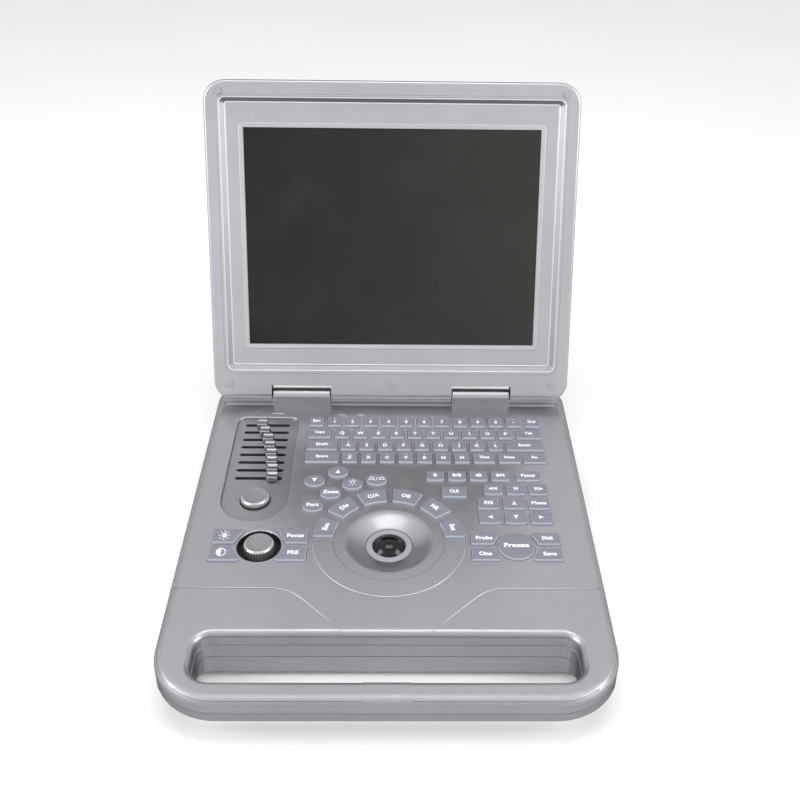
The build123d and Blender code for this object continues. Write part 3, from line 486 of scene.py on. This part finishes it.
for sgn in (-1, 1):
    ring_ink("round", x + sgn * 5.0, y, KZ, 1.9, 2.7, 0, math.pi, sy=1.3)
    add_poly("round", [(x + sgn * 5.0 - 3.2, y - 1.0), (x + sgn * 5.0 + 3.2, y - 1.0), (x + sgn * 5.0 + 3.2, y - 0.2), (x + sgn * 5.0 - 3.2, y - 0.2)], KZ)
add_poly("round", [(x - 1.2, y - 2.4), (x - 0.5, y - 2.4), (x + 1.2, y + 3.2), (x + 0.5, y + 3.2)], KZ)
add_text("round", "Zoom", ROUND[4][0], ROUND[4][1] + 0.4, KZ, 6.4, width=15.6, bold=0.05)
add_text("round", "Part", ROUND[5][0], ROUND[5][1] + 0.4, KZ, 6.2, width=11.6, bold=0.05)

for n, (t, ang, wd) in enumerate([("Esc", 165.5, 9.6), ("Dis", 135.2, 9.4), ("C/A", 105, 11.8), ("OB", 75, 9.4), ("HR", 44.6, 9.0), ("Set", 14.2, 9.0)]):
    a = math.radians(ang)
    add_text(f"arc_{n + 1}", t, 61.4 * math.cos(a), 61.4 * math.sin(a), KZ, 6.6, a - math.pi / 2, width=wd, bold=0.05)

fn = [((45.1, 91.0), "B", 3.6), ((66.8, 91.0), "B/B", 8.8), ((88.3, 91.0), "4B", 6.4), ((110.1, 91.0), "BM", 8.4), ((137.9, 91.0), "Funct", 14.2), ((63.3, 66.7), "CLR", 9.8),
      ((103.6, 70.6), "M", 3.6), ((123.7, 70.6), "M", 4.0), ((144.0, 70.6), "M", 3.6), ((95.7, 49.8), "F/S", 8.6), ((144.2, 49.8), "Menu", 14.2)]
for (x, y), t, wd in fn:
    add_text("function", t, x, y, KZ, 6.0, width=wd, bold=0.05)
tri("function", 98.6, 70.6, KZ, 4.4, 4.2, math.pi / 2)
tri("function", 148.9, 70.6, KZ, 4.4, 4.2, -math.pi / 2)
tri("function", 120.3, 49.8, KZ, 4.4, 5.4, 0)
tri("function", 95.8, 29.5, KZ, 4.6, 4.6, math.pi / 2)
tri("function", 120.3, 29.5, KZ, 4.4, 5.4, math.pi)
tri("function", 144.4, 29.5, KZ, 4.6, 4.6, -math.pi / 2)

for (x, y), t, wd in [((-86.5, 3.2), "Focus", 15.6), ((-87.0, -19.0), "FRE", 10.2), ((88.0, 1.0), "Probe", 15.6), ((88.0, -19.6), "Cine", 12.0),
                      ((147.0, 1.0), "Disk", 10.6), ((146.8, -19.6), "Save", 12.6)]:
    add_text("corner", t, x, y, KZ, 6.2, width=wd, bold=0.05)
x, y = -152.0, 3.0
v, f = ink("corner")
i0 = len(v)
v.extend(P(x + 2.4 * math.cos(k * math.pi / 10), y + 2.9 * math.sin(k * math.pi / 10), KZ) for k in range(20))
f.append(tuple(range(i0, i0 + 20)))
for k in range(8):
    a = k * math.pi / 4
    ca, sa = math.cos(a), math.sin(a)
    add_poly("corner", [(x + 3.4 * ca - 0.38 * sa, y + 4.0 * sa + 0.38 * ca), (x + 5.3 * ca - 0.38 * sa, y + 6.4 * sa + 0.38 * ca),
                        (x + 5.3 * ca + 0.38 * sa, y + 6.4 * sa - 0.38 * ca), (x + 3.4 * ca + 0.38 * sa, y + 4.0 * sa - 0.38 * ca)], KZ)
x, y = -152.2, -19.0
ring_ink("corner", x, y, KZ, 3.7, 4.5, n=32, sy=1.15)
i0 = len(v)
v.extend(P(x + 3.8 * math.cos(math.pi / 2 + k * math.pi / 12), y + 4.3 * math.sin(math.pi / 2 + k * math.pi / 12), KZ) for k in range(13))
f.append(tuple(range(i0, i0 + 13)))
add_text("freeze", "Freeze", 117.3, -8.6, KZ, 7.0, width=23.2, bold=0.05)

for body, (v, f) in INK.items():
    mesh_piece(f"legends_{body}", v, f, M["white"], body, smooth=False)

# printed marks on the deck
INK.clear()
add_poly("base", [(-129.5, 195.6), (-115.0, 195.6), (-115.0, 196.8), (-129.5, 196.8)], 0.03)
for x in (-52.6, -32.6):
    add_poly("base", [(x - 3.4, 193.6), (x + 3.4, 193.6), (x + 3.4, 195.1), (x - 3.4, 195.1)], 0.03)
for k, x in enumerate((-148.5, -145.6)):
    ring_ink("base", x + 1.4, 199.0, 0.03, 1.0 + 0.9 * k, 1.4 + 0.9 * k, -math.pi / 2, math.pi / 2, n=12)
for x in (-112, -107.5, -103, -99):
    add_poly("base", [(x - 0.9, 17.4), (x + 0.9, 17.4), (x + 0.9, 18.3), (x - 0.9, 18.3)], 0.03)
for body, (v, f) in INK.items():
    mesh_piece(f"deck_marks_{body}", v, f, M["mark"], body, smooth=False)

def bead(name, pts, r, mat, body="base", n=8):
    """Thin half-round rib swept along a path given in millimetres."""
    q = [P(*p) for p in pts]
    verts, faces = [], []
    for k, c in enumerate(q):
        t = (q[min(k + 1, len(q) - 1)] - q[max(k - 1, 0)]).normalized()
        side = t.cross(Vector((0, 0, 1))).normalized()
        taper = min(1.0, 0.25 + min(k, len(q) - 1 - k) / 4.0)
        for i in range(n + 1):
            a = math.pi * i / n
            verts.append(c + (side * math.cos(a) * r + Vector((0, 0, 1)) * math.sin(a) * r * 0.55) * taper / 1000)
    m = n + 1
    for k in range(len(q) - 1):
        for i in range(n):
            faces.append((k * m + i, (k + 1) * m + i, (k + 1) * m + i + 1, k * m + i + 1))
        faces.append((k * m + n, (k + 1) * m + n, (k + 1) * m, k * m))
    faces.append(tuple(range(m)))
    faces.append(tuple(reversed(range((len(q) - 1) * m, len(q) * m))))
    ob = mesh_piece(name, verts, faces, mat, body)
    return ob


# bright ribs are painted highlights along the raised pad's outer arc and the palm-rest steps; dark lines are painted
# shade along the inner arc and the pad's ends
bead("deck_arc_rib", [(70.75 * math.cos(math.radians(a)), 70.75 * math.sin(math.radians(a)), 0.25) for a in range(-178, -1, 3)], 0.42, M["bead"])
bead("deck_inner_arc_line", [(51.9 * math.cos(math.radians(a)), 51.9 * math.sin(math.radians(a)), 0.38) for a in range(-177, -2, 3)], 0.3, M["line"])
for sgn, nm in ((-1, "left"), (1, "right")):
    bead(f"deck_arc_end_{nm}", [(sgn * (52.2 + 18.2 * k / 8), -1.6, 0.4) for k in range(9)], 0.28, M["line"])
    ctr = []
    ctr += [(sgn * x, -60.1, -0.28) for x in (184, 170, 150, 130, 115, 104)]
    ctr += [(sgn * x, y, -0.28) for x, y in ((99.5, -60.35), (95.0, -61.1), (90.5, -62.4), (86.0, -64.4), (81.5, -67.1), (77.5, -70.3), (74.5, -72.9))]
    ctr += [(sgn * (74.5 - d), -72.9 - d, -0.28) for d in (6, 12, 18, 24, 30)]
    bead(f"palm_rest_edge_{nm}", [(a, b, c + 0.1) for a, b, c in ctr], 0.4, M["bead"])

def lid_ring(name, hx, v0, v1, r, prof, mat, smooth=True, n=7):
    """Closed ring on the lid's face along a rounded rectangle; prof holds (outward, proud) points in mm."""
    path = []
    for cx, cv, a0 in ((hx - r, v1 - r, 0), (-hx + r, v1 - r, 90), (-hx + r, v0 + r, 180), (hx - r, v0 + r, 270)):
        for k in range(n + 1):
            a = math.radians(a0 + 90 * k / n)
            path.append((cx + r * math.cos(a), cv + r * math.sin(a), math.cos(a), math.sin(a)))
    m = len(prof)
    verts = [L(x + nx * o, v + nv * o, w) for x, v, nx, nv in path for o, w in prof]
    faces = []
    for k in range(len(path)):
        j = (k + 1) % len(path)
        for i in range(m):
            h = (i + 1) % m
            faces.append((k * m + i, j * m + i, j * m + h, k * m + h))
    ob = mesh_piece(name, verts, faces, mat, "lid", smooth)
    bm = bmesh.new()
    bm.from_mesh(ob.data)
    bmesh.ops.recalc_face_normals(bm, faces=bm.faces)
    bm.to_mesh(ob.data)
    bm.free()
    return ob


def tube(half, high, w, n=12):
    return [(half * math.cos(2 * math.pi * k / n), w + high * math.sin(2 * math.pi * k / n)) for k in range(n)]


# ridge rings are painted highlights: bright paint along both edges of the step round the screen
lid_ring("lid_step_ridge_outer", 175.9, 29.7, 317.2, 6.8, tube(0.95, 0.5, 8.0), M["ridge"])
lid_ring("lid_step_ridge_inner", 169.9, 35.9, 311.8, 2.6, tube(0.9, 0.45, 5.62), M["ridge"])
# painted shade: a thin dark line round the outer edge of the step
lid_ring("lid_step_shade_line", 179.0, 26.6, 320.3, 9.8, tube(0.45, 0.1, 8.5), M["wall"])
lid_ring("lid_screen_lip", 152.05, 58.85, 286.95, 0.01, [(0.35, 5.3), (0.35, 5.72), (0.9, 5.86), (4.3, 6.42), (4.8, 6.3), (5.2, 5.4)], M["lip"], smooth=False)

# shadow gap under the upper knob
INK.clear()
gr = (gh.x - gl.x) * 500
ring_ink("base", (gl.x + gh.x) * 500, ((gl.y + gh.y) / 2 - YOFF) * 1000, -2.46, gr - 1.2, gr + 1.1, n=64)
for body, (v, f) in INK.items():
    mesh_piece("gain_knob_gap", v, f, M["gap"], body, smooth=False)


# slider caps: soft saddle between two ridges, with a rounded skirt and a stem into the slot
def slider_cap(i):
    lo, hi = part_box(f"tgc_slider_{i}")
    cx, cy = (lo.x + hi.x) * 500, ((lo.y + hi.y) / 2 - YOFF) * 1000
    hx, hy, top = (hi.x - lo.x) * 500, (hi.y - lo.y) * 500, (hi.z - ZOFF) * 1000
    n, verts, faces, rings = 56, [], [], []

    def saddle(y):
        u = min(1.0, abs(y) / (hy * 0.72))
        return top - 1.35 * (1 - u * u * (3 - 2 * u))

    def contour(inset, drop, flat=None):
        ring = []
        for k in range(n):
            a = 2 * math.pi * (k + 0.5) / n
            c, sn = math.cos(a), math.sin(a)
            e = 0.42
            px = (hx - inset) * math.copysign(abs(c) ** e, c)
            py = (hy - inset) * math.copysign(abs(sn) ** e, sn)
            z = (saddle(py) - drop) if flat is None else flat
            ring.append(len(verts))
            verts.append(P(cx + px, cy + py, z))
        rings.append(ring)

    for inset in (4.9, 4.2, 3.4, 2.6, 1.9, 1.35):
        contour(inset, 0.0)
    for t in (15, 35, 55, 75, 90):
        a = math.radians(t)
        contour(1.15 * (1 - math.sin(a)) + 0.02, 1.15 * (1 - math.cos(a)))
    contour(0.0, 0, flat=-0.2)
    contour(0.0, 0, flat=-1.5)
    contour(0.4, 0, flat=-1.9)
    verts.append(P(cx, cy, saddle(0)))
    c0 = len(verts) - 1
    for k in range(n):
        faces.append((rings[0][k], rings[0][(k + 1) % n], c0))
    for a, b in zip(rings, rings[1:]):
        for k in range(n):
            faces.append((b[k], b[(k + 1) % n], a[(k + 1) % n], a[k]))
    faces.append(tuple(reversed(rings[-1])))
    b0 = len(verts)
    for z in (-1.9, -11.0):
        for dx, dy in ((-2, -0.9), (2, -0.9), (2, 0.9), (-2, 0.9)):
            verts.append(P(cx + dx, cy + dy, z))
    for k in range(4):
        faces.append((b0 + k, b0 + 4 + k, b0 + 4 + (k + 1) % 4, b0 + (k + 1) % 4))
    faces.append((b0 + 7, b0 + 6, b0 + 5, b0 + 4))
    faces.append((b0, b0 + 3, b0 + 2, b0 + 1))
    ob = mesh_piece(f"slider_cap_{i}", verts, faces, M["slider"], f"slider_{i}")
    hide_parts(f"tgc_slider_{i}")


for i in range(1, 9):
    slider_cap(i)

# ------------------------------------------------------------------ stage
bpy.ops.mesh.primitive_plane_add(size=8, location=(0, 0, -0.0003))
floor = bpy.context.object
floor.name = "floor"
fm, fnt, fb, fco = new_mat("floor_paper")
fc = mixc(fnt, maprange(fnt, noise(fnt, fco, 3, 2), 0.3, 0.7, 0, 1), (0.95, 0.95, 0.95), (0.97, 0.97, 0.97))
flp = fnt.nodes.new("ShaderNodeLightPath")
fc = mixc(fnt, flp.outputs["Is Camera Ray"], (0.58, 0.58, 0.585), fc)
fnt.links.new(fc, fb.inputs["Base Color"])
fb.inputs["Roughness"].default_value = 0.9
fb.inputs["Specular IOR Level"].default_value = 0.1
floor.data.materials.append(fm)


def area(name, loc, target, size, power, sy=None):
    li = bpy.data.lights.new(name, "AREA")
    li.shape = "RECTANGLE"
    li.size = size
    li.size_y = sy or size
    li.energy = power
    ob = bpy.data.objects.new(name, li)
    bpy.context.scene.collection.objects.link(ob)
    ob.location = loc
    ob.rotation_euler = (Vector(target) - Vector(loc)).to_track_quat("-Z", "Y").to_euler()
    return ob


area("softbox_top", (0.0, -0.1, 1.9), (0, 0, 0.1), 1.3, 9.0, 0.7)
area("softbox_left", (-1.6, -0.7, 1.0), (0, 0, 0.15), 0.9, 17.0, 1.3)
area("softbox_right", (1.6, -0.7, 1.0), (0, 0, 0.15), 0.9, 17.0, 1.3)

world = bpy.data.worlds.new("studio") if bpy.context.scene.world is None else bpy.context.scene.world
bpy.context.scene.world = world
world.use_nodes = True
wn = world.node_tree
wn.nodes.clear()
wo = wn.nodes.new("ShaderNodeOutputWorld")
wb = wn.nodes.new("ShaderNodeBackground")
wtc = wn.nodes.new("ShaderNodeTexCoord")
wsx = wn.nodes.new("ShaderNodeSeparateXYZ")
wn.links.new(wtc.outputs["Generated"], wsx.inputs[0])
ramp = wn.nodes.new("ShaderNodeValToRGB")
ramp.color_ramp.interpolation = "EASE"
stops = [(0.0, 0.9), (0.5, 0.92), (0.60, 0.72), (0.72, 0.62), (0.82, 0.86), (0.90, 0.98), (0.96, 0.62), (1.0, 0.5)]
while len(ramp.color_ramp.elements) < len(stops):
    ramp.color_ramp.elements.new(0.5)
for e, (p, v) in zip(ramp.color_ramp.elements, stops):
    e.position = p
    e.color = (v, v, v * 1.01, 1)
wmr = wn.nodes.new("ShaderNodeMapRange")
wmr.inputs["From Min"].default_value = -1.0
wmr.inputs["From Max"].default_value = 1.0
wn.links.new(wsx.outputs[2], wmr.inputs["Value"])
wn.links.new(wmr.outputs["Result"], ramp.inputs["Fac"])
wn.links.new(ramp.outputs["Color"], wb.inputs[0])
wb.inputs[1].default_value = 1.0
wlp = wn.nodes.new("ShaderNodeLightPath")
wb2 = wn.nodes.new("ShaderNodeBackground")
wb2.inputs[0].default_value = (1, 1, 1, 1)
wb2.inputs[1].default_value = 1.0
wmix = wn.nodes.new("ShaderNodeMixShader")
wn.links.new(wlp.outputs["Is Camera Ray"], wmix.inputs[0])
wn.links.new(wb.outputs[0], wmix.inputs[1])
wn.links.new(wb2.outputs[0], wmix.inputs[2])
wn.links.new(wmix.outputs[0], wo.inputs[0])

# camera at the reference viewing angle
cam_d = bpy.data.cameras.new("camera")
cam = bpy.data.objects.new("camera", cam_d)
bpy.context.scene.collection.objects.link(cam)
bpy.context.scene.camera = cam
cam_d.sensor_width = 36.0
cam_d.lens = 46.60
cam_d.shift_x = -0.01975
cam_d.shift_y = -0.07188
cam_d.clip_end = 50
yaw, pitch, roll = math.radians(1.12388), math.radians(32.32961), math.radians(0.99067)
fwd = Vector((math.sin(yaw) * math.cos(pitch), math.cos(yaw) * math.cos(pitch), -math.sin(pitch)))
right = Vector((math.cos(yaw), -math.sin(yaw), 0))
up = right.cross(fwd)
R = math.cos(roll) * right + math.sin(roll) * up
Uv = -math.sin(roll) * right + math.cos(roll) * up
mw = Matrix.Identity(4)
for i in range(3):
    mw[i][0], mw[i][1], mw[i][2] = R[i], Uv[i], -fwd[i]
loc = P(7.605, -711.845, 667.097)
mw[0][3], mw[1][3], mw[2][3] = loc
cam.matrix_world = mw
bpy.context.scene.view_settings.view_transform = "Standard"
